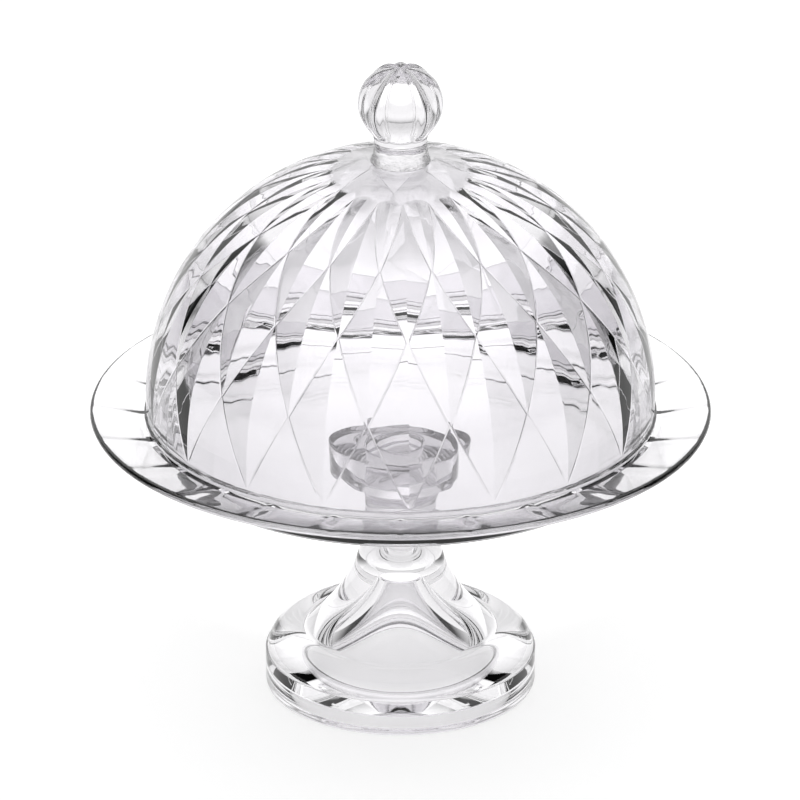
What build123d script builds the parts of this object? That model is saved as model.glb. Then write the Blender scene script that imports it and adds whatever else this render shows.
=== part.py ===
from build123d import *
import math
import os

# Pressed glass cake stand with a diamond-cut dome, in millimetres, +Z up.
# The origin is the middle of the foot's underside, where the stand meets the table.
# The front of the stand faces -Y.

# Pedestal: foot, stem and cup, pressed in one
foot_radius = 65.6
foot_edge_round = 4.0
plinth_height = 19.0
plinth_step = 0.5
shoulder_tube_radius = 14.5
shoulder_top_height = 31.2
flare_foot_radius = 46.3
waist_radius = 17.4
waist_height = 91.7
hollow_mouth_radius = 50.0
hollow_mouth_height = 6.0
hollow_apex_height = 56.0
hollow_apex_radius = 7.0
hollow_flare_sag = 5.0
cup_radius = 28.5
cup_height = 15.5
cup_top_height = 123.0
cup_edge_round = 1.5
socket_radius = 17.4
socket_depth = 15.0

# Plate: recessed floor, ledge for the dome, and a fluted rim
plate_radius = 150.0
plate_edge_radius = 1.9
plate_edge_height = 144.7
floor_thickness = 3.6
recess_radius = 111.0
recess_wall = 4.0
ledge_inner_radius = 112.5
ledge_outer_radius = 126.0
ledge_height = 142.8
rim_underside_height = 137.0
recess_bottom_round = 4.0
flute_count = 24
flute_width = 7.0
flute_depth = 1.5
spigot_clearance = 0.5
spigot_length = 8.0

# Dome: smooth outside, pressed inside with a lattice of tall diamonds
dome_radius = 123.0
dome_centre_above_edge = 9.8
meeting_wall = 7.0
diamond_wall = 6.0
lip_radius = 123.7
lip_height = 2.4
lip_round = 0.9
diamond_columns = 18
diamond_phase = 2.0
diamond_row_latitudes = (16.0, 35.7, 52.9, 73.0)
bands_per_row = 2

# Knob: an eight-lobed ball on a waisted neck, bonded to the top of the dome
bond_radius = 14.2
bond_thickness = 0.3
neck_foot_radius = 14.7
neck_waist_radius = 12.9
neck_height = 13.0
knob_radius = 20.5
knob_centre_above_neck_foot = 29.5
lobe_count = 8
lobe_groove_radius = 3.4
lobe_groove_depth = 1.7

# Heights that follow from the sizes above
plate_floor_height = cup_top_height + floor_thickness
dome_centre_height = ledge_height + dome_centre_above_edge
lattice_start_height = ledge_height + lip_height
diamond_levels = len(diamond_row_latitudes)
lattice_bands = diamond_levels * bands_per_row
neck_seat_height = dome_centre_height + math.sqrt(dome_radius**2 - neck_foot_radius**2)
knob_foot_height = neck_seat_height + bond_thickness
knob_centre_height = knob_foot_height + knob_centre_above_neck_foot


def turned(*outline):
    """Spin a closed outline, drawn in the XZ plane, about the Z axis."""
    with BuildPart() as part:
        with BuildSketch(Plane.XZ):
            with BuildLine():
                for edge in outline:
                    add(edge)
            make_face()
        revolve(axis=Axis.Z)
    return part.part


def make_pedestal():
    """Foot, flared stem and socket cup as one glass, hollow under the foot."""
    tube_centre_radius = foot_radius - plinth_step - shoulder_tube_radius
    tube_centre_height = shoulder_top_height - shoulder_tube_radius
    step_drop = plinth_height - tube_centre_height
    step_radius = tube_centre_radius + math.sqrt(shoulder_tube_radius**2 - step_drop**2)
    crease_run = tube_centre_radius - flare_foot_radius
    crease_height = tube_centre_height + math.sqrt(shoulder_tube_radius**2 - crease_run**2)
    half_turn = math.radians(40)
    shoulder_middle = (
        tube_centre_radius + shoulder_tube_radius * math.sin(half_turn),
        tube_centre_height + shoulder_tube_radius * math.cos(half_turn),
    )
    flare_run = flare_foot_radius - waist_radius
    flare_drop = waist_height - crease_height
    flare_arc_radius = (flare_run**2 + flare_drop**2) / (2 * flare_run)
    flare_middle_drop = flare_drop / 2
    flare_middle_run = flare_arc_radius - math.sqrt(flare_arc_radius**2 - flare_middle_drop**2)
    flare_middle = (waist_radius + flare_middle_run, waist_height - flare_middle_drop)
    cup_bottom = cup_top_height - cup_height
    funnel_run = cup_radius - waist_radius
    funnel_rise = cup_bottom - waist_height
    funnel_arc_radius = (funnel_run**2 + funnel_rise**2) / (2 * funnel_run)
    funnel_half_rise = funnel_rise * 0.55
    funnel_half_run = funnel_arc_radius - math.sqrt(funnel_arc_radius**2 - funnel_half_rise**2)
    funnel_middle = (waist_radius + funnel_half_run, waist_height + funnel_half_rise)
    crease = (flare_foot_radius, crease_height)
    waist = (waist_radius, waist_height)
    body = turned(
        Line((0, 0), (foot_radius, 0)),
        Line((foot_radius, 0), (foot_radius, plinth_height)),
        Line((foot_radius, plinth_height), (step_radius, plinth_height)),
        ThreePointArc((step_radius, plinth_height), shoulder_middle, crease),
        ThreePointArc(crease, flare_middle, waist),
        ThreePointArc(waist, funnel_middle, (cup_radius, cup_bottom)),
        Line((cup_radius, cup_bottom), (cup_radius, cup_top_height)),
        Line((cup_radius, cup_top_height), (0, cup_top_height)),
        Line((0, cup_top_height), (0, 0)),
    )
    table_edge = body.edges().filter_by(GeomType.CIRCLE).sort_by(Axis.Z)[0]
    body = fillet(table_edge, foot_edge_round)
    cup_edge = body.edges().filter_by(GeomType.CIRCLE).sort_by(Axis.Z)[-1]
    body = fillet(cup_edge, cup_edge_round)
    hollow_middle = (
        (hollow_mouth_radius + hollow_apex_radius) / 2 - hollow_flare_sag,
        (hollow_mouth_height + hollow_apex_height) / 2 - hollow_flare_sag,
    )
    hollow = turned(
        Line((0, 0), (hollow_mouth_radius, 0)),
        Line((hollow_mouth_radius, 0), (hollow_mouth_radius, hollow_mouth_height)),
        ThreePointArc(
            (hollow_mouth_radius, hollow_mouth_height),
            hollow_middle,
            (hollow_apex_radius, hollow_apex_height),
        ),
        Line((hollow_apex_radius, hollow_apex_height), (0, hollow_apex_height)),
        Line((0, hollow_apex_height), (0, 0)),
    )
    apex_edge = hollow.edges().filter_by(GeomType.CIRCLE).sort_by(Axis.Z)[-1]
    hollow = fillet(apex_edge, hollow_apex_radius * 0.6)
    socket = Pos(0, 0, cup_top_height - socket_depth) * Cylinder(
        socket_radius, socket_depth, align=(Align.CENTER, Align.CENTER, Align.MIN)
    )
    return body - hollow - socket


def rim_slope():
    """Slope of the rim's underside, in degrees above level."""
    rise = plate_edge_height - plate_edge_radius - rim_underside_height
    run = plate_radius - plate_edge_radius - recess_radius - recess_wall
    return math.degrees(math.atan2(rise, run))


def make_plate():
    """Dished plate with a seat for the dome, a fluted rim and a spigot under it."""
    edge_centre = plate_radius - plate_edge_radius
    edge_top = (edge_centre, plate_edge_height + plate_edge_radius)
    edge_bottom = (edge_centre, plate_edge_height - plate_edge_radius)
    outer_wall = recess_radius + recess_wall
    corner = recess_bottom_round
    plate = turned(
        Line((0, cup_top_height), (outer_wall - corner, cup_top_height)),
        RadiusArc(
            (outer_wall - corner, cup_top_height), (outer_wall, cup_top_height + corner), -corner
        ),
        Line((outer_wall, cup_top_height + corner), (outer_wall, rim_underside_height)),
        Line((outer_wall, rim_underside_height), edge_bottom),
        ThreePointArc(edge_bottom, (plate_radius, plate_edge_height), edge_top),
        Line(edge_top, (ledge_outer_radius, ledge_height)),
        Line((ledge_outer_radius, ledge_height), (ledge_inner_radius, ledge_height)),
        Line((ledge_inner_radius, ledge_height), (recess_radius, plate_floor_height)),
        Line((recess_radius, plate_floor_height), (0, plate_floor_height)),
        Line((0, plate_floor_height), (0, cup_top_height)),
    )
    spigot = Pos(0, 0, cup_top_height - spigot_length) * Cylinder(
        socket_radius - spigot_clearance,
        spigot_length,
        align=(Align.CENTER, Align.CENTER, Align.MIN),
    )
    plate = plate + spigot
    slope = rim_slope()
    along = (math.cos(math.radians(slope)), 0, math.sin(math.radians(slope)))
    section_plane = Plane(
        origin=(outer_wall, 0, rim_underside_height), x_dir=(0, 1, 0), z_dir=along
    )
    up = section_plane.y_dir.Z
    section = section_plane * Polygon(
        (-flute_width / 2, -up * flute_depth),
        (flute_width / 2, -up * flute_depth),
        (0, up * flute_depth),
        align=None,
    )
    flute = extrude(section, amount=plate_radius - outer_wall + flute_width)
    flutes = [Rot(0, 0, 360 / flute_count * number) * flute for number in range(flute_count)]
    return plate - flutes


def lattice_latitude(band):
    """Latitude of a band's lower edge, in degrees, seen from the dome's centre."""
    ball = dome_radius - meeting_wall
    first = math.degrees(math.asin((lattice_start_height - dome_centre_height) / ball))
    rows = (first, *diamond_row_latitudes)
    level = min(band // bands_per_row, diamond_levels - 1)
    share = band / bands_per_row - level
    return rows[level] + (rows[level + 1] - rows[level]) * share


def lattice_corner(band, column):
    """A corner of the lattice. Columns 0 and 2 of each four run up the middles of diamonds.

    Columns 1 and 3 follow the slanted ridges between diamonds, which meet the middles
    on every row. The wall is thick on the ridges and thins towards a diamond's middle.
    """
    level = min(band // bands_per_row, diamond_levels - 1)
    share = band / bands_per_row - level
    swing = share if level % 2 == 0 else 1 - share
    turn = (0, swing, 1, 2 - swing)[column % 4]
    hollow = (swing, 0, 1 - swing, 0)[column % 4]
    if band in (0, lattice_bands):
        hollow = 0
    ball = dome_radius - meeting_wall + (meeting_wall - diamond_wall) * hollow
    latitude = math.radians(lattice_latitude(band))
    pitch = 360 / diamond_columns
    azimuth = math.radians(diamond_phase - 90 + pitch * (column // 4 + turn / 2))
    return Vector(
        ball * math.cos(latitude) * math.cos(azimuth),
        ball * math.cos(latitude) * math.sin(azimuth),
        dome_centre_height + ball * math.sin(latitude),
    )


def flat_face(*corners):
    """A flat face through its corners, where corners that coincide count once."""
    distinct = []
    for corner in corners:
        if all((corner - other).length > 0.01 for other in distinct):
            distinct.append(corner)
    return Face(Wire.make_polygon(distinct, close=True))


def make_diamond_ball():
    """The room inside the dome, up to its plain cap, as a closed lattice of diamonds."""
    columns = range(4 * diamond_columns)
    faces = [
        flat_face(*[lattice_corner(0, column) for column in reversed(columns)]),
        flat_face(*[lattice_corner(lattice_bands, column) for column in columns]),
    ]
    for band in range(lattice_bands):
        for column in columns:
            low_left = lattice_corner(band, column)
            low_right = lattice_corner(band, column + 1)
            high_left = lattice_corner(band + 1, column)
            high_right = lattice_corner(band + 1, column + 1)
            if (low_left - low_right).length < 0.01:
                faces.append(flat_face(low_left, high_right, high_left))
            elif (high_left - high_right).length < 0.01:
                faces.append(flat_face(low_left, low_right, high_left))
            else:
                faces.append(flat_face(low_left, low_right, high_right))
                faces.append(flat_face(low_left, high_right, high_left))
    return Solid(Shell(faces))


def ball_cap(radius, low_height, high_height):
    """A slice of the dome's ball, of some radius, between two heights."""
    low_reach = math.sqrt(radius**2 - (low_height - dome_centre_height) ** 2)
    high_reach = math.sqrt(radius**2 - (high_height - dome_centre_height) ** 2)
    middle_height = (low_height + high_height) / 2
    middle_reach = math.sqrt(radius**2 - (middle_height - dome_centre_height) ** 2)
    return turned(
        Line((0, low_height), (low_reach, low_height)),
        ThreePointArc(
            (low_reach, low_height), (middle_reach, middle_height), (high_reach, high_height)
        ),
        Line((high_reach, high_height), (0, high_height)),
        Line((0, high_height), (0, low_height)),
    )


def make_dome():
    """Glass dome: smooth outside with a plain lip, diamonds and a plain cap inside."""
    outside = ball_cap(dome_radius, ledge_height, neck_seat_height)
    lip = Pos(0, 0, ledge_height) * Cylinder(
        lip_radius, lip_height, align=(Align.CENTER, Align.CENTER, Align.MIN)
    )
    lip = fillet(lip.edges().filter_by(GeomType.CIRCLE), lip_round)
    mouth_corner = lattice_corner(0, 0)
    mouth_radius = math.hypot(mouth_corner.X, mouth_corner.Y)
    mouth = Pos(0, 0, ledge_height) * Cylinder(
        mouth_radius, lip_height, align=(Align.CENTER, Align.CENTER, Align.MIN)
    )
    cap_foot_height = lattice_corner(lattice_bands, 0).Z
    inside_cap = Pos(0, 0, dome_centre_height) * Sphere(dome_radius - meeting_wall)
    below_cap = Pos(0, 0, cap_foot_height) * Cylinder(
        2 * dome_radius, 2 * dome_radius, align=(Align.CENTER, Align.CENTER, Align.MAX)
    )
    return outside + lip - mouth - make_diamond_ball() - (inside_cap - below_cap)


def make_knob_bond():
    """Clear bonding film between the dome's flat top and the knob's neck."""
    return Pos(0, 0, neck_seat_height) * Cylinder(
        bond_radius, bond_thickness, align=(Align.CENTER, Align.CENTER, Align.MIN)
    )


def make_knob():
    """Solid glass ball with eight upright lobes on a waisted neck."""
    turned_pole = 11
    ball = Rot(0, 90, 0) * (Rot(0, 0, turned_pole) * Sphere(knob_radius))
    ring_radius = knob_radius + lobe_groove_radius - lobe_groove_depth
    ring = Torus(ring_radius, lobe_groove_radius)
    turn = 360 / lobe_count
    for number in range(lobe_count // 2):
        ball = ball - Rot(0, 0, turn * (number + 0.5)) * (Rot(90, 0, 0) * ring)
    ball = Pos(0, 0, knob_centre_height) * ball
    neck_top = knob_foot_height + neck_height
    neck = turned(
        Line((0, knob_foot_height), (neck_foot_radius, knob_foot_height)),
        ThreePointArc(
            (neck_foot_radius, knob_foot_height),
            (neck_waist_radius, knob_foot_height + neck_height / 2),
            (neck_waist_radius + 0.6, neck_top),
        ),
        Line((neck_waist_radius + 0.6, neck_top), (0, knob_centre_height)),
        Line((0, knob_centre_height), (0, knob_foot_height)),
    )
    return ball + neck


os.makedirs("parts", exist_ok=True)
nodes = {
    "pedestal": make_pedestal(),
    "plate": make_plate(),
    "dome": make_dome(),
    "knob_bond": make_knob_bond(),
    "knob": make_knob(),
}
for name, shape in nodes.items():
    export_step(shape, f"parts/{name}.step")
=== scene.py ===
"""A pressed glass cake stand with its dome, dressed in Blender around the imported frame."""

import logging
import math
from collections.abc import Callable
from dataclasses import dataclass, field, replace
from enum import Enum
from functools import partial

import bpy
from mathutils import Matrix, Vector


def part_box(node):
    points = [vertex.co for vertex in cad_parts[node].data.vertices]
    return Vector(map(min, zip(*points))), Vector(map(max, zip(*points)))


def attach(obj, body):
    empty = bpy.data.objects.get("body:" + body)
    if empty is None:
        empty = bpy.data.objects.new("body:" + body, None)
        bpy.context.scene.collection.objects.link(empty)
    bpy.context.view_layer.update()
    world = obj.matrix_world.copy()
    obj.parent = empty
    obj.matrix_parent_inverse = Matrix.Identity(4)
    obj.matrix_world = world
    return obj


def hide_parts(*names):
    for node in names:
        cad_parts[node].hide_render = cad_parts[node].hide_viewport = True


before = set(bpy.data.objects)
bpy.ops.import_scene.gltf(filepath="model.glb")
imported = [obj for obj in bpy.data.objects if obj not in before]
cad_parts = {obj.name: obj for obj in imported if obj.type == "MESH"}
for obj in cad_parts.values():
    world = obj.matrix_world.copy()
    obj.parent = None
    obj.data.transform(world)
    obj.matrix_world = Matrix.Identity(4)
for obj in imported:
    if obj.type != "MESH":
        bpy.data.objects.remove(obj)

logging.basicConfig(level=logging.INFO, format="%(levelname)s %(message)s")
log = logging.getLogger("cake_stand")

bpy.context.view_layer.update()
MM = 0.001
MERGE_GAP = 0.01 * MM


class Body(str, Enum):
    """The bodies that pieces ride on."""

    PEDESTAL = "pedestal"
    PLATE = "plate"
    COVER = "cover"


class Slot(str, Enum):
    """The record's material slots."""

    PEDESTAL = "pedestal_glass"
    PLATE = "plate_glass"
    DOME = "dome_glass"
    BOND = "bond"
    KNOB = "knob_glass"


class Value:
    """A socket's value in a node tree, with arithmetic that adds Math nodes."""

    def __init__(self, tree: bpy.types.NodeTree, link: object) -> None:
        """Wrap an output socket or a plain number.

        Args:
            tree: The node tree that the value lives in.
            link: An output socket, or a number.
        """
        self.tree = tree
        self.link = link

    def feed(self, socket: bpy.types.NodeSocket) -> None:
        """Send this value into an input socket.

        Args:
            socket: The input socket.
        """
        if isinstance(self.link, bpy.types.NodeSocket):
            self.tree.links.new(self.link, socket)
        else:
            socket.default_value = self.link

    def math(self, operation: str, other: object = 0.0, swap: bool = False) -> "Value":
        """Combine this value with another in one Math node.

        Args:
            operation: The Math node's operation.
            other: A Value or a number.
            swap: Whether the other value comes first.

        Returns:
            The node's result.
        """
        node = self.tree.nodes.new("ShaderNodeMath")
        node.operation = operation
        pair = [self, other if isinstance(other, Value) else Value(self.tree, other)]
        if swap:
            pair.reverse()
        for item, socket in zip(pair, node.inputs):
            item.feed(socket)
        return Value(self.tree, node.outputs[0])

    def __add__(self, other: object) -> "Value":
        """Add."""
        return self.math("ADD", other)

    __radd__ = __add__

    def __mul__(self, other: object) -> "Value":
        """Multiply."""
        return self.math("MULTIPLY", other)

    __rmul__ = __mul__

    def __sub__(self, other: object) -> "Value":
        """Subtract."""
        return self.math("SUBTRACT", other)

    def __rsub__(self, other: object) -> "Value":
        """Subtract this value from another."""
        return self.math("SUBTRACT", other, swap=True)

    def clamped(self) -> "Value":
        """Keep the value between 0 and 1."""
        return self.math("MAXIMUM", 0.0).math("MINIMUM", 1.0)


class Shader:
    """A node tree with short ways to add nodes."""

    def __init__(self, tree: bpy.types.NodeTree) -> None:
        """Empty a tree and take it over."""
        self.tree = tree
        tree.nodes.clear()

    def node(self, kind: str, settings: dict | None = None, **sockets: object) -> bpy.types.Node:
        """Add a node, set its settings first and then its sockets.

        Args:
            kind: The node's type.
            settings: Attributes of the node, such as an operation.
            sockets: Values or links by socket name, with spaces written as underscores.

        Returns:
            The new node.
        """
        node = self.tree.nodes.new(kind)
        for name, value in (settings or {}).items():
            setattr(node, name, value)
        for name, value in sockets.items():
            socket = node.inputs[name.replace("_", " ")]
            if isinstance(value, Value):
                value.feed(socket)
            elif isinstance(value, bpy.types.NodeSocket):
                self.tree.links.new(value, socket)
            else:
                socket.default_value = value
        return node

    def value(self, socket: bpy.types.NodeSocket) -> Value:
        """Wrap an output socket for arithmetic."""
        return Value(self.tree, socket)


@dataclass(frozen=True)
class GlassFinish:
    """Clear pressed glass: its tint, the mould's faint waves, and specks below a height."""

    name: str
    clear_tint: tuple[float, float, float] = (0.90, 0.893, 0.905)
    deep_tint: tuple[float, float, float] = (0.84, 0.832, 0.85)
    tint_cell: float = 45 * MM
    index: float = 1.5
    wave_cell: float = 16 * MM
    wave_height: float = 0.03 * MM
    haze: float = 0.0
    speckle_below: float = 0.0
    speckle_cell: float = 1.1 * MM
    speckle_height: float = 0.35 * MM
    tint_detail: float = 2.0
    relief_detail: float = 1.0

    def make(self) -> bpy.types.Material:
        """Build the glass as a material on Object coordinates.

        Returns:
            The material.
        """
        material = bpy.data.materials.new(self.name)
        material.use_nodes = True
        shader = Shader(material.node_tree)
        place = shader.node("ShaderNodeTexCoord").outputs["Object"]

        def noise(cell: float, detail: float) -> Value:
            """Noise from 0 to 1 whose lumps are about as wide as the cell."""
            node = shader.node("ShaderNodeTexNoise", Vector=place, Scale=1 / cell, Detail=detail)
            return shader.value(node.outputs["Fac"])

        tint = shader.node("ShaderNodeMix", {"data_type": "RGBA"})
        noise(self.tint_cell, self.tint_detail).feed(tint.inputs["Factor"])
        mix_a, mix_b = [socket for socket in tint.inputs if socket.type == "RGBA"]
        mix_a.default_value = (*self.clear_tint, 1)
        mix_b.default_value = (*self.deep_tint, 1)
        tinted = [socket for socket in tint.outputs if socket.type == "RGBA"][0]
        relief = noise(self.wave_cell, self.relief_detail) * self.wave_height
        if self.speckle_below:
            specks = noise(self.speckle_cell, self.relief_detail)
            height = shader.node("ShaderNodeSeparateXYZ", Vector=place).outputs["Z"]
            low = ((self.speckle_below - shader.value(height)) * (1 / MM)).clamped()
            relief = relief + specks * low * self.speckle_height
        bump = shader.node("ShaderNodeBump", Height=relief, Distance=1.0, Strength=1.0)
        glass = shader.node(
            "ShaderNodeBsdfPrincipled",
            Base_Color=tinted,
            Roughness=self.haze,
            IOR=self.index,
            Transmission_Weight=1.0,
            Normal=bump.outputs["Normal"],
        )
        shader.node("ShaderNodeOutputMaterial", Surface=glass.outputs["BSDF"])
        return material


def deselect_all() -> None:
    """Leave edit mode and select nothing."""
    if bpy.context.object and bpy.context.object.mode != "OBJECT":
        bpy.ops.object.mode_set(mode="OBJECT")
    bpy.ops.object.select_all(action="DESELECT")


def select_vertices(piece: bpy.types.Object, test: Callable[[Vector], bool]) -> None:
    """Select only the vertices of a mesh that pass a test.

    Args:
        piece: The piece, in edit mode.
        test: A function that takes a vertex's place and says yes or no.
    """
    bpy.ops.mesh.select_mode(type="VERT")
    bpy.ops.mesh.select_all(action="DESELECT")
    bpy.ops.object.mode_set(mode="OBJECT")
    for vertex in piece.data.vertices:
        vertex.select = test(vertex.co)
    bpy.ops.object.mode_set(mode="EDIT")


def turned_radius(place: Vector) -> float:
    """How far a place lies from the Z axis."""
    return math.hypot(place.x, place.y)


@dataclass
class Outline:
    """Half a section of a turned piece, as radius and height pairs in metres.

    A corner that is still to be softened is a radius, a height and a rounding.
    """

    points: list[tuple[float, ...]] = field(default_factory=list)
    arc_step: float = 1.5 * MM
    arc_steps_min: int = 3
    corner_steps: int = 5
    corner_reach: float = 0.49

    def line(self, radius: float, height: float) -> None:
        """Go straight to a point."""
        self.points.append((radius, height))

    def arc(self, middle: tuple[float, float], end: tuple[float, float]) -> None:
        """Go to a point along the circle through a middle point.

        Args:
            middle: A point on the arc.
            end: The arc's last point.
        """
        x1, y1 = self.points[-1][:2]
        x2, y2 = middle
        x3, y3 = end
        twice = 2 * (x1 * (y2 - y3) + x2 * (y3 - y1) + x3 * (y1 - y2))
        s1, s2, s3 = x1 * x1 + y1 * y1, x2 * x2 + y2 * y2, x3 * x3 + y3 * y3
        cx = (s1 * (y2 - y3) + s2 * (y3 - y1) + s3 * (y1 - y2)) / twice
        cy = (s1 * (x3 - x2) + s2 * (x1 - x3) + s3 * (x2 - x1)) / twice
        reach = math.hypot(x1 - cx, y1 - cy)
        first = math.atan2(y1 - cy, x1 - cx)
        second = math.atan2(y2 - cy, x2 - cx)
        third = math.atan2(y3 - cy, x3 - cx)
        half = math.remainder(second - first, math.tau)
        rest = math.remainder(third - second, math.tau)
        sweep = half + rest
        count = max(self.arc_steps_min, math.ceil(abs(sweep) * reach / self.arc_step))
        for step in range(1, count + 1):
            angle = first + sweep * step / count
            self.points.append((cx + reach * math.cos(angle), cy + reach * math.sin(angle)))

    def corner(self, radius: float, height: float, rounding: float) -> None:
        """Note a corner that is softened later, once its neighbours are known."""
        self.points.append((radius, height, rounding))

    def softened(self) -> list[tuple[float, float]]:
        """The outline's points, with each noted corner turned into a small arc.

        Returns:
            Radius and height pairs.
        """
        result = []
        last = len(self.points) - 1
        for number, point in enumerate(self.points):
            if len(point) == 2 or number in (0, last):
                result.append(point[:2])
                continue
            here = Vector(point[:2])
            back = Vector(self.points[number - 1][:2]) - here
            ahead = Vector(self.points[number + 1][:2]) - here
            turn = math.pi - back.angle(ahead)
            cut = point[2] * math.tan(turn / 2)
            cut = min(cut, back.length * self.corner_reach, ahead.length * self.corner_reach)
            start = here + back.normalized() * cut
            end = here + ahead.normalized() * cut
            for step in range(self.corner_steps + 1):
                share = step / self.corner_steps
                low = start.lerp(here, share)
                high = here.lerp(end, share)
                mixed = low.lerp(high, share)
                result.append((mixed.x, mixed.y))
        return result


def spin_outline(name: str, outline: Outline, columns: int) -> bpy.types.Object:
    """Lathe an outline about the Z axis, and stay in edit mode.

    Args:
        name: The piece's name.
        outline: The half section.
        columns: How many columns of faces go round.

    Returns:
        The piece, in edit mode, with its doubles merged.
    """
    points = outline.softened()
    deselect_all()
    bpy.ops.mesh.primitive_plane_add(size=MM)
    piece = bpy.context.object
    piece.name = name
    bpy.ops.object.mode_set(mode="EDIT")
    bpy.ops.mesh.select_mode(type="VERT")
    bpy.ops.mesh.select_all(action="SELECT")
    bpy.ops.mesh.merge(type="CENTER")
    bpy.ops.transform.translate(value=(points[0][0], 0, points[0][1]))
    for before, after in zip(points, points[1:]):
        move = (after[0] - before[0], 0, after[1] - before[1])
        bpy.ops.mesh.extrude_region_move(TRANSFORM_OT_translate={"value": move})
    bpy.ops.mesh.select_all(action="SELECT")
    bpy.ops.mesh.spin(steps=columns, angle=math.tau, center=(0, 0, 0), axis=(0, 0, 1))
    bpy.ops.mesh.select_all(action="SELECT")
    bpy.ops.mesh.remove_doubles(threshold=MERGE_GAP)
    return piece


def finish_glass(piece: bpy.types.Object, finish: GlassFinish) -> None:
    """Turn a closed piece's faces outwards, smooth it and give it its glass.

    Args:
        piece: The piece, in edit mode.
        finish: The glass.
    """
    bpy.ops.mesh.select_all(action="SELECT")
    bpy.ops.mesh.normals_make_consistent(inside=False)
    bpy.ops.object.mode_set(mode="OBJECT")
    bpy.ops.object.shade_smooth()
    modifier = piece.modifiers.new("Weighted_Normal", "WEIGHTED_NORMAL")
    modifier.keep_sharp = True
    bpy.ops.object.modifier_apply(modifier=modifier.name)
    piece.data.materials.clear()
    piece.data.materials.append(finish.make())


@dataclass
class Pedestal:
    """Foot, flared stem and socket cup, pressed in one and hollow under the foot."""

    foot_radius: float = 65.6 * MM
    plinth_height: float = 19.0 * MM
    plinth_step: float = 0.5 * MM
    shoulder_tube: float = 14.5 * MM
    shoulder_top: float = 31.2 * MM
    flare_foot_radius: float = 46.3 * MM
    waist_radius: float = 17.4 * MM
    waist_height: float = 91.7 * MM
    hollow_mouth_radius: float = 50.0 * MM
    hollow_mouth_height: float = 6.0 * MM
    hollow_apex_height: float = 56.0 * MM
    hollow_apex_radius: float = 7.0 * MM
    hollow_sag: float = 5.0 * MM
    cup_radius: float = 28.5 * MM
    cup_height: float = 15.5 * MM
    socket_radius: float = 17.4 * MM
    socket_depth: float = 15.0 * MM
    top_gap: float = 0.06 * MM
    table_round: float = 4.0 * MM
    edge_round: float = 1.2 * MM
    apex_round: float = 3.0 * MM
    shoulder_turn: float = 40.0
    funnel_share: float = 0.55
    columns: int = 192
    finish: GlassFinish = GlassFinish("pedestal_glass", wave_cell=22 * MM)

    def outline(self) -> Outline:
        """The half section, from the roof of the hollow round to the socket's floor.

        Returns:
            The outline.
        """
        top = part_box("pedestal")[1][2] - self.top_gap
        tube_centre = self.foot_radius - self.plinth_step - self.shoulder_tube
        tube_height = self.shoulder_top - self.shoulder_tube
        step_drop = self.plinth_height - tube_height
        step_radius = tube_centre + math.sqrt(self.shoulder_tube**2 - step_drop**2)
        crease_run = tube_centre - self.flare_foot_radius
        crease_height = tube_height + math.sqrt(self.shoulder_tube**2 - crease_run**2)
        turn = math.radians(self.shoulder_turn)
        shoulder_middle = (
            tube_centre + self.shoulder_tube * math.sin(turn),
            tube_height + self.shoulder_tube * math.cos(turn),
        )
        flare_run = self.flare_foot_radius - self.waist_radius
        flare_drop = self.waist_height - crease_height
        flare_arc = (flare_run**2 + flare_drop**2) / (2 * flare_run)
        half_drop = flare_drop / 2
        flare_middle = (
            self.waist_radius + flare_arc - math.sqrt(flare_arc**2 - half_drop**2),
            self.waist_height - half_drop,
        )
        cup_bottom = top - self.cup_height
        funnel_run = self.cup_radius - self.waist_radius
        funnel_rise = cup_bottom - self.waist_height
        funnel_arc = (funnel_run**2 + funnel_rise**2) / (2 * funnel_run)
        part_rise = funnel_rise * self.funnel_share
        funnel_middle = (
            self.waist_radius + funnel_arc - math.sqrt(funnel_arc**2 - part_rise**2),
            self.waist_height + part_rise,
        )
        hollow_middle = (
            (self.hollow_mouth_radius + self.hollow_apex_radius) / 2 - self.hollow_sag,
            (self.hollow_mouth_height + self.hollow_apex_height) / 2 - self.hollow_sag,
        )
        socket_floor = top - self.socket_depth
        outline = Outline()
        outline.line(0, self.hollow_apex_height)
        outline.corner(self.hollow_apex_radius, self.hollow_apex_height, self.apex_round)
        hollow = Outline([(self.hollow_mouth_radius, self.hollow_mouth_height)])
        hollow.arc(hollow_middle, (self.hollow_apex_radius, self.hollow_apex_height))
        for point in reversed(hollow.points[:-1]):
            outline.line(*point)
        outline.corner(self.hollow_mouth_radius, 0, self.edge_round)
        outline.corner(self.foot_radius, 0, self.table_round)
        outline.corner(self.foot_radius, self.plinth_height, self.edge_round / 2)
        outline.line(step_radius, self.plinth_height)
        outline.arc(shoulder_middle, (self.flare_foot_radius, crease_height))
        outline.arc(flare_middle, (self.waist_radius, self.waist_height))
        outline.arc(funnel_middle, (self.cup_radius, cup_bottom))
        outline.corner(self.cup_radius, top, self.edge_round)
        outline.corner(self.socket_radius, top, self.edge_round)
        outline.corner(self.socket_radius, socket_floor, self.edge_round)
        outline.line(0, socket_floor)
        return outline

    def build(self) -> bpy.types.Object:
        """Turn the outline, dress it and put it in its node's place.

        Returns:
            The pedestal.
        """
        piece = spin_outline("pedestal_pressed", self.outline(), self.columns)
        finish_glass(piece, self.finish)
        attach(piece, Body.PEDESTAL.value)
        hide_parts("pedestal")
        return piece


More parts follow.
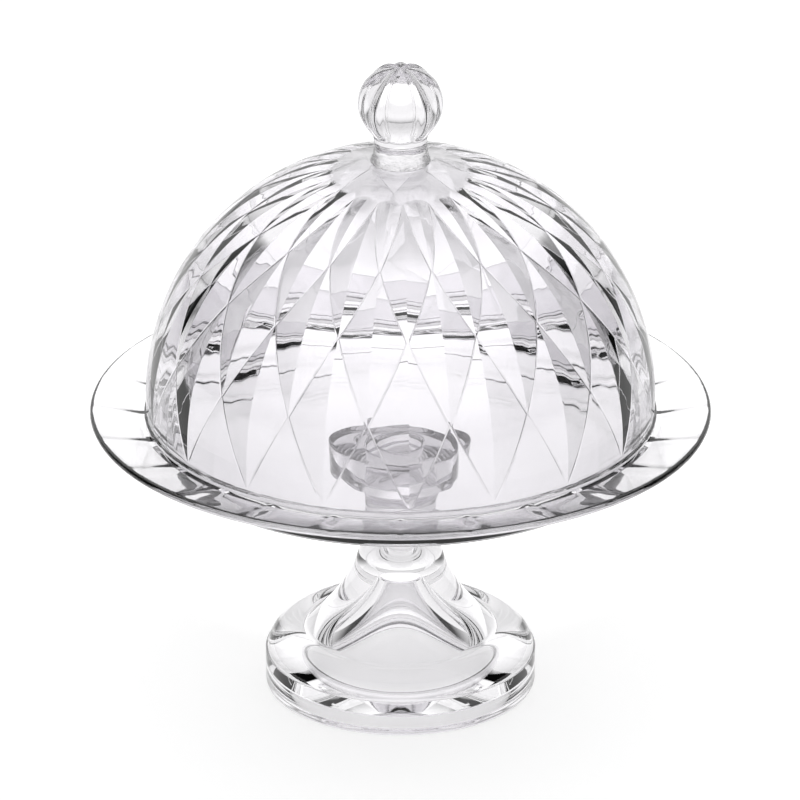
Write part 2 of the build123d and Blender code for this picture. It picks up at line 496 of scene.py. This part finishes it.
@dataclass
class Plate:
    """Dished plate with a ledge for the dome, a fluted rim and a spigot."""

    radius: float = 150.0 * MM
    edge_radius: float = 1.9 * MM
    edge_height: float = 144.7 * MM
    floor_thickness: float = 3.6 * MM
    recess_radius: float = 111.0 * MM
    recess_wall: float = 4.0 * MM
    ledge_inner_radius: float = 112.5 * MM
    ledge_outer_radius: float = 126.0 * MM
    ledge_height: float = 142.8 * MM
    rim_underside: float = 137.0 * MM
    recess_round: float = 4.0 * MM
    wall_round: float = 1.5 * MM
    ledge_round: float = 2.0 * MM
    floor_round: float = 5.0 * MM
    spigot_radius: float = 16.9 * MM
    spigot_length: float = 8.0 * MM
    spigot_round: float = 0.8 * MM
    spigot_root_round: float = 0.4 * MM
    flute_count: int = 24
    flute_depth: float = 1.3 * MM
    flute_end_depth: float = 0.25 * MM
    flute_turn_radius: float = 137.6 * MM
    flute_section: tuple[float, ...] = (1.0, 0.3)
    columns_per_flute: int = 12
    rim_steps: int = 12
    ring_slack: float = 0.2 * MM
    under_slack: float = 0.3 * MM
    column_slack: float = 0.2
    finish: GlassFinish = GlassFinish("plate_glass", (0.86, 0.852, 0.866), (0.79, 0.781, 0.80))

    @property
    def wall_radius(self) -> float:
        """Outer radius of the recess's wall, where the rim's underside begins."""
        return self.recess_radius + self.recess_wall

    @property
    def rim_run(self) -> float:
        """How far the rim's underside reaches outwards."""
        return self.radius - self.edge_radius - self.wall_radius

    @property
    def rim_rise(self) -> float:
        """How far the rim's underside climbs."""
        return self.edge_height - self.edge_radius - self.rim_underside

    def outline(self) -> Outline:
        """The half section, from the middle of the spigot round to the middle of the floor.

        Returns:
            The outline.
        """
        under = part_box("plate")[0][2] + self.spigot_length
        edge_centre = self.radius - self.edge_radius
        wall = self.wall_radius
        outline = Outline()
        outline.line(0, under - self.spigot_length)
        outline.corner(self.spigot_radius, under - self.spigot_length, self.spigot_round)
        outline.corner(self.spigot_radius, under, self.spigot_root_round)
        outline.corner(wall, under, self.recess_round)
        outline.corner(wall, self.rim_underside, self.wall_round)
        for step in range(1, self.rim_steps + 1):
            share = step / self.rim_steps
            outline.line(wall + self.rim_run * share, self.rim_underside + self.rim_rise * share)
        outline.arc(
            (self.radius, self.edge_height), (edge_centre, self.edge_height + self.edge_radius)
        )
        outline.corner(self.ledge_outer_radius, self.ledge_height, self.ledge_round)
        outline.corner(self.ledge_inner_radius, self.ledge_height, self.ledge_round)
        outline.corner(self.recess_radius, under + self.floor_thickness, self.floor_round)
        outline.line(0, under + self.floor_thickness)
        return outline

    def on_flute(self, place: Vector, ring: float, beside: int) -> bool:
        """Whether a vertex of the underside lies on a ring, at a flute's line or beside it.

        Args:
            place: The vertex's place.
            ring: The ring's radius.
            beside: How many columns the vertex is to be away from a flute's line.

        Returns:
            Whether the vertex lies there.
        """
        reach = turned_radius(place)
        if abs(reach - ring) > self.ring_slack:
            return False
        under = self.rim_underside + self.rim_rise * (reach - self.wall_radius) / self.rim_run
        if place.z > under + self.under_slack:
            return False
        turn = math.atan2(place.y, place.x) * self.flute_count / math.tau
        column = abs(turn - round(turn)) * self.columns_per_flute
        return abs(column - beside) < self.column_slack

    def cut_flutes(self, piece: bpy.types.Object) -> None:
        """Lift the underside along radial lines that are deep at the wall and fade outwards.

        Args:
            piece: The turned plate, in edit mode.
        """
        wall = self.wall_radius
        for step in range(1, self.rim_steps + 1):
            ring = wall + self.rim_run * step / self.rim_steps
            fade = min(1.0, (ring - wall) / (self.flute_turn_radius - wall))
            depth = self.flute_depth + (self.flute_end_depth - self.flute_depth) * fade
            for beside, part in enumerate(self.flute_section):
                select_vertices(piece, partial(self.on_flute, ring=ring, beside=beside))
                bpy.ops.transform.translate(value=(0, 0, depth * part))

    def build(self) -> bpy.types.Object:
        """Turn the outline, press the flutes, dress it and put it in its node's place.

        Returns:
            The plate.
        """
        columns = self.flute_count * self.columns_per_flute
        piece = spin_outline("plate_pressed", self.outline(), columns)
        self.cut_flutes(piece)
        finish_glass(piece, self.finish)
        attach(piece, Body.PLATE.value)
        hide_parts("plate")
        return piece


@dataclass
class Dome:
    """Dome that is smooth outside, with a lattice of tall diamonds pressed inside."""

    radius: float = 123.0 * MM
    centre_above_edge: float = 9.8 * MM
    meeting_wall: float = 7.0 * MM
    diamond_wall: float = 5.2 * MM
    lip_radius: float = 123.7 * MM
    lip_height: float = 2.4 * MM
    lip_step: float = 0.3 * MM
    lip_mouth_round: float = 0.6 * MM
    lip_foot_round: float = 0.9 * MM
    lip_top_round: float = 0.8 * MM
    foot_gap: float = 0.05 * MM
    neck_seat_radius: float = 14.7 * MM
    middle_latitude: float = 45.0
    arc_step: float = 2.5 * MM
    cap_rows: int = 10
    row_latitudes: tuple[float, ...] = (16.0, 35.7, 52.9, 73.0)
    bands_per_row: int = 6
    diamond_columns: int = 18
    diamond_phase: float = 2.0
    panels_per_pitch: int = 4
    panel_shares: tuple[float, ...] = (0.0, 0.05, 0.35, 0.65, 0.95)
    ridge_rise: float = 0.35 * MM
    fold_rise_min: float = 0.5 * MM
    ball_slack: float = 0.02 * MM
    latitude_slack: float = 0.01
    finish: GlassFinish = GlassFinish(
        "dome_glass", (0.80, 0.791, 0.808), (0.735, 0.726, 0.745), wave_cell=30 * MM
    )

    @property
    def ball(self) -> float:
        """Radius of the inside ball, on which the panels meet."""
        return self.radius - self.meeting_wall

    @property
    def columns(self) -> int:
        """How many columns of vertices go round."""
        return self.panels_per_pitch * self.diamond_columns * len(self.panel_shares)

    @property
    def phase(self) -> float:
        """Where the lattice's first column stands, in radians."""
        return math.radians(self.diamond_phase - 90)

    def outline(self, edge: float) -> Outline:
        """The half section, from the inside's top round to the seat of the knob.

        Args:
            edge: Height of the lip's underside.

        Returns:
            The outline, with a row of points for every band of the lattice.
        """
        centre = edge + self.centre_above_edge
        lattice_start = edge + self.lip_height
        latitudes = self.latitudes()
        outline = Outline(arc_step=self.arc_step)

        def go_down(high: float, low: float, rows: int) -> None:
            """Go down the inside ball in equal rows.

            Args:
                high: The latitude to leave, in degrees.
                low: The latitude to reach, in degrees.
                rows: How many rows.
            """
            for step in range(1, rows + 1):
                turn = math.radians(high + (low - high) * step / rows)
                outline.line(self.ball * math.cos(turn), centre + self.ball * math.sin(turn))

        outline.line(0, centre + self.ball)
        go_down(90, latitudes[-1], self.cap_rows)
        for high, low in reversed(list(zip(latitudes[1:], latitudes))):
            go_down(high, low, self.bands_per_row)
        mouth = self.ball * math.cos(math.radians(latitudes[0]))
        outline.corner(mouth, edge, self.lip_mouth_round)
        outline.corner(self.lip_radius, edge, self.lip_foot_round)
        outline.corner(self.lip_radius, lattice_start - self.lip_step, self.lip_top_round)
        foot_reach = math.sqrt(self.radius**2 - (lattice_start - centre) ** 2)
        seat = centre + math.sqrt(self.radius**2 - self.neck_seat_radius**2)
        middle = math.radians(self.middle_latitude)
        outline.line(foot_reach, lattice_start)
        outline.arc(
            (self.radius * math.cos(middle), centre + self.radius * math.sin(middle)),
            (self.neck_seat_radius, seat),
        )
        outline.line(0, seat)
        return outline

    def latitudes(self) -> list[float]:
        """Latitudes of the lattice's rows in degrees, from the lip's top upwards."""
        first = math.degrees(math.asin((self.lip_height - self.centre_above_edge) / self.ball))
        return [first, *self.row_latitudes]

    def lattice_place(self, rows: list[float], latitude: float, column: int) -> Vector:
        """Where a vertex of the inside ball goes, relative to the ball's centre.

        Args:
            rows: Latitudes of the lattice's rows, in degrees.
            latitude: The vertex's latitude, in degrees.
            column: The vertex's column, counted from the diamonds' phase.

        Returns:
            The vertex's place on a diamond's panel.
        """
        slack = self.latitude_slack
        level = max(number for number, row in enumerate(rows[:-1]) if latitude >= row - slack)
        share = (latitude - rows[level]) / (rows[level + 1] - rows[level])
        swing = share if level % 2 == 0 else 1 - share
        panel, step = divmod(column, len(self.panel_shares))
        period, start = divmod(panel, self.panels_per_pitch)
        along = self.panel_shares[step]
        turns = (0.0, swing, 1.0, 2.0 - swing, 2.0)
        next_hollow = 0.0 if level == 0 else 1.0 - swing
        hollows = (swing, 0.0, next_hollow, 0.0, swing)
        at_end = latitude < rows[0] + slack or latitude > rows[-1] - slack
        depth = 0.0 if at_end else self.meeting_wall - self.diamond_wall
        pitch = math.tau / self.diamond_columns
        tilt = math.radians(latitude)

        def on_ball(turn: float, hollow: float) -> Vector:
            """A place on the ball.

            Args:
                turn: How far round from the period's start, in half pitches.
                hollow: How far it is pushed out, as a share of the deepest hollow.

            Returns:
                The place.
            """
            azimuth = self.phase + pitch * (period + turn / 2)
            reach = self.ball + depth * hollow
            flat = reach * math.cos(tilt)
            return Vector(
                (flat * math.cos(azimuth), flat * math.sin(azimuth), reach * math.sin(tilt))
            )

        if start % 2 and step == 0 and not at_end:
            return on_ball(turns[start], hollows[start] - self.ridge_rise / depth)
        return on_ball(
            turns[start] + (turns[start + 1] - turns[start]) * along,
            hollows[start] + (hollows[start + 1] - hollows[start]) * along,
        )

    def press_lattice(self, piece: bpy.types.Object, edge: float) -> None:
        """Move the inside ball's vertices into a lattice of diamonds.

        Folds are sharp beside each ridge and down the middle of each diamond.

        Args:
            piece: The turned dome, in edit mode.
            edge: Height of the lip's underside.
        """
        centre = Vector((0, 0, edge + self.centre_above_edge))
        rows = self.latitudes()
        lowest, highest = rows[0] - self.latitude_slack, rows[-1] + self.latitude_slack
        last_step = len(self.panel_shares) - 1
        bpy.ops.object.mode_set(mode="OBJECT")
        folds = set()
        for vertex in piece.data.vertices:
            place = vertex.co - centre
            if abs(place.length - self.ball) > self.ball_slack:
                continue
            latitude = math.degrees(math.atan2(place.z, turned_radius(place)))
            if not lowest < latitude < highest:
                continue
            turn = (math.atan2(place.y, place.x) - self.phase) % math.tau
            column = round(turn * self.columns / math.tau) % self.columns
            vertex.co = centre + self.lattice_place(rows, latitude, column)
            panel, step = divmod(column, len(self.panel_shares))
            fold_steps = (1,) if panel % 2 else (0, last_step)
            if step in fold_steps:
                folds.add(vertex.index)
        for line in piece.data.edges:
            start, end = (piece.data.vertices[number].co.z for number in line.vertices)
            if set(line.vertices) <= folds and abs(start - end) > self.fold_rise_min:
                line.use_edge_sharp = True
        bpy.ops.object.mode_set(mode="EDIT")
        bpy.ops.mesh.select_all(action="SELECT")
        bpy.ops.mesh.remove_doubles(threshold=MERGE_GAP)

    def build(self) -> bpy.types.Object:
        """Turn the dome, press its lattice and dress it.

        Returns:
            The dome.
        """
        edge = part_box("dome")[0][2] + self.foot_gap
        piece = spin_outline("dome_cut", self.outline(edge), self.columns)
        bpy.ops.object.mode_set(mode="OBJECT")
        piece.data.transform(Matrix.Rotation(math.radians(self.diamond_phase), 4, "Z"))
        bpy.ops.object.mode_set(mode="EDIT")
        self.press_lattice(piece, edge)
        finish_glass(piece, self.finish)
        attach(piece, Body.COVER.value)
        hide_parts("dome")
        return piece


@dataclass
class Knob:
    """Eight-lobed solid ball on a waisted neck, with the bonding under it."""

    ball_radius: float = 20.5 * MM
    centre_above_foot: float = 29.5 * MM
    neck_foot_radius: float = 14.7 * MM
    neck_waist_radius: float = 12.9 * MM
    neck_height: float = 13.0 * MM
    neck_top_flare: float = 0.6 * MM
    foot_gap: float = 0.03 * MM
    foot_round: float = 0.5 * MM
    bond_radius: float = 14.2 * MM
    bond_gap_below: float = 0.08 * MM
    bond_gap_above: float = 0.04 * MM
    bond_round: float = 0.05 * MM
    bond_columns: int = 72
    lobe_count: int = 8
    groove_depth: float = 2.55 * MM
    groove_start: float = 0.5 * MM
    groove_fade: float = 4.0 * MM
    columns_per_lobe: int = 16
    speckled_height: float = 5.0 * MM
    finish: GlassFinish = GlassFinish(
        "knob_glass", (0.91, 0.90, 0.918), (0.85, 0.84, 0.86), wave_cell=12 * MM
    )
    bond_finish: GlassFinish = GlassFinish(
        "bond_clear", wave_cell=1.2 * MM, wave_height=0.3 * MM, haze=0.1
    )

    def build(self) -> list[bpy.types.Object]:
        """Turn the knob and its bond, cut the lobes and dress both.

        Returns:
            The knob and the bond.
        """
        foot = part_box("knob")[0][2]
        centre = foot + self.centre_above_foot
        neck_top_reach = self.neck_waist_radius + self.neck_top_flare
        neck_top = centre - math.sqrt(self.ball_radius**2 - neck_top_reach**2)
        outline = Outline()
        outline.line(0, foot + self.foot_gap)
        outline.corner(self.neck_foot_radius, foot + self.foot_gap, self.foot_round)
        outline.arc(
            (self.neck_waist_radius, foot + self.neck_height / 2), (neck_top_reach, neck_top)
        )
        outline.arc((self.ball_radius, centre), (0, centre + self.ball_radius))
        columns = self.lobe_count * self.columns_per_lobe
        knob = spin_outline("knob_lobed", outline, columns)
        self.press_grooves(knob, centre, neck_top)
        finish_glass(knob, replace(self.finish, speckle_below=foot + self.speckled_height))
        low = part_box("knob_bond")[0][2] + self.bond_gap_below
        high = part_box("knob_bond")[1][2] - self.bond_gap_above
        bond_outline = Outline()
        bond_outline.line(0, low)
        bond_outline.corner(self.bond_radius, low, self.bond_round)
        bond_outline.corner(self.bond_radius, high, self.bond_round)
        bond_outline.line(0, high)
        bond = spin_outline("knob_bonding", bond_outline, self.bond_columns)
        finish_glass(bond, self.bond_finish)
        for piece, node, slot in ((knob, "knob", Slot.KNOB), (bond, "knob_bond", Slot.BOND)):
            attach(piece, Body.COVER.value)
            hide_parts(node)
        return [knob, bond]

    def press_grooves(self, knob: bpy.types.Object, centre: float, neck_top: float) -> None:
        """Press grooves along meridian planes into the ball, which leaves the lobes.

        The depth depends on how far a vertex lies from the nearest plane, so the grooves
        keep their width up to the crown, where they cross.

        Args:
            knob: The turned knob, in edit mode.
            centre: Height of the ball's centre.
            neck_top: Height at which the ball begins.
        """
        lobe = math.tau / self.lobe_count
        half_width = self.ball_radius * math.sin(lobe / 2)
        middle = Vector((0, 0, centre))
        bpy.ops.object.mode_set(mode="OBJECT")
        for vertex in knob.data.vertices:
            place = vertex.co - middle
            if vertex.co.z < neck_top + self.groove_start:
                continue
            turn = math.atan2(place.y, place.x) / lobe - 0.5
            lateral = turned_radius(place) * abs(math.sin((turn - round(turn)) * lobe))
            away = 1 - min(1.0, lateral / half_width)
            depth = self.groove_depth * (1 - math.sqrt(1 - away**2))
            depth *= min(1.0, (vertex.co.z - neck_top) / self.groove_fade)
            vertex.co = middle + place * (1 - depth / self.ball_radius)
        bpy.ops.object.mode_set(mode="EDIT")


@dataclass
class Studio:
    """Pale glowing floor with a painted pool of light and painted shade far out, soft
    surrounding light and the camera.
    """

    camera_elevation: float = 24.0
    camera_distance: float = 6.0
    view_width: float = 386.2 * MM
    aim_height: float = 149.4 * MM
    aim_side: float = -0.24 * MM
    camera_range: float = 100.0
    sensor: float = 36.0
    bounces: int = 24
    floor_drop: float = 0.05 * MM
    floor_size: float = 12.0
    # Painted shade: the floor's glow fades towards dark past this distance from the middle.
    painted_falloff_start: float = 1.8
    painted_falloff_rate: float = 0.3
    paper_tone: float = 0.3
    paper_roughness: float = 0.9
    paper_glow: float = 0.76
    # Painted pool of light: where the floor's glow is brighter, in a stretched spot behind the
    # object.
    pool_distance: float = 430 * MM
    pool_radius: float = 190 * MM
    pool_stretch: float = 2.2
    painted_pool_glow: float = 0.95
    light_strength: float = 1.6
    side_start: float = 0.60
    side_slope: float = 5.0
    front_start: float = 0.5
    front_slope: float = 0.7
    rise_slope: float = 2.2
    dark_level: float = 0.04
    low_level: float = 0.60

    def build(self) -> None:
        """Set the floor, the surroundings and the camera."""
        self.lay_floor()
        self.light()
        self.place_camera()
        scene = bpy.context.scene
        scene.view_settings.view_transform = "Standard"
        scene.cycles.max_bounces = self.bounces
        scene.cycles.transmission_bounces = self.bounces
        scene.cycles.transparent_max_bounces = self.bounces

    def lay_floor(self) -> None:
        """Lay a large pale floor under the foot that glows, with a painted pool of light behind
        the object and painted shade fading it far out.
        """
        deselect_all()
        bpy.ops.mesh.primitive_plane_add(size=self.floor_size, location=(0, 0, -self.floor_drop))
        floor = bpy.context.object
        floor.name = "studio_floor"
        material = bpy.data.materials.new("studio_paper_painted_light")
        material.use_nodes = True
        shader = Shader(material.node_tree)
        place = shader.node("ShaderNodeTexCoord").outputs["Object"]
        # Painted pool of light: the floor glows brighter in a stretched spot behind the object.
        offset = shader.node(
            "ShaderNodeMapping", Vector=place, Location=(0, -self.pool_distance, 0)
        )
        narrow = shader.node(
            "ShaderNodeMapping", Vector=offset.outputs[0], Scale=(1, 1 / self.pool_stretch, 1)
        )
        away = shader.node(
            "ShaderNodeVectorMath", {"operation": "LENGTH"}, Vector=narrow.outputs[0]
        )
        painted_light_pool = (1.0 - shader.value(away.outputs["Value"]) * (1 / self.pool_radius)).clamped()
        # Painted shade: the floor's glow fades towards dark far from the object.
        reach = shader.node("ShaderNodeVectorMath", {"operation": "LENGTH"}, Vector=place)
        past = shader.value(reach.outputs["Value"]) - self.painted_falloff_start
        fade = (1.0 - past * self.painted_falloff_rate).clamped()
        # The floor glows evenly, plus the painted pool of light, all dimmed far out by painted
        # shade.
        paper = shader.node(
            "ShaderNodeBsdfPrincipled",
            Base_Color=(self.paper_tone, self.paper_tone, self.paper_tone, 1),
            Roughness=self.paper_roughness,
            Emission_Color=(painted_light_pool * self.painted_pool_glow + self.paper_glow) * fade,
            Emission_Strength=1.0,
        )
        shader.node("ShaderNodeOutputMaterial", Surface=paper.outputs["BSDF"])
        floor.data.materials.append(material)

    def light(self) -> None:
        """Surround the object with soft white light, darker at the sides, in front and low."""
        world = bpy.data.worlds.new("studio_light")
        bpy.context.scene.world = world
        world.use_nodes = True
        shader = Shader(world.node_tree)
        way = shader.node("ShaderNodeTexCoord").outputs["Generated"]
        parts = shader.node("ShaderNodeSeparateXYZ", Vector=way).outputs
        side = shader.value(parts["X"]).math("ABSOLUTE")
        front = shader.value(parts["Y"]) * -1.0
        level = (1.0 - (side - self.side_start).clamped() * self.side_slope).clamped()
        level = level * (1.0 - (front - self.front_start).clamped() * self.front_slope).clamped()
        rise = (shader.value(parts["Z"]) * self.rise_slope).clamped()
        level = level * (rise * (1.0 - self.low_level) + self.low_level)
        level = level.math("MAXIMUM", self.dark_level) * self.light_strength
        light = shader.node("ShaderNodeBackground", Strength=level)
        shader.node("ShaderNodeOutputWorld", Surface=light.outputs["Background"])

    def place_camera(self) -> None:
        """Stand far off with a long lens, in line with the photograph's view."""
        tilt = math.radians(self.camera_elevation)
        aim = Vector((self.aim_side, 0, self.aim_height))
        away = Vector((0, -math.cos(tilt), math.sin(tilt)))
        data = bpy.data.cameras.new("camera")
        data.sensor_width = self.sensor
        data.lens = self.sensor * self.camera_distance / self.view_width
        data.clip_end = self.camera_range
        camera = bpy.data.objects.new("camera", data)
        camera.location = aim + away * self.camera_distance
        camera.rotation_euler = (math.pi / 2 - tilt, 0, 0)
        bpy.context.scene.collection.objects.link(camera)
        bpy.context.scene.camera = camera


def main() -> None:
    """Build the studio, then the pieces in order."""
    Studio().build()
    for piece in (Pedestal().build(), Plate().build(), Dome().build(), *Knob().build()):
        log.info("built %s with %d faces", piece.name, len(piece.data.polygons))
    deselect_all()


if __name__ == "__main__":
    main()
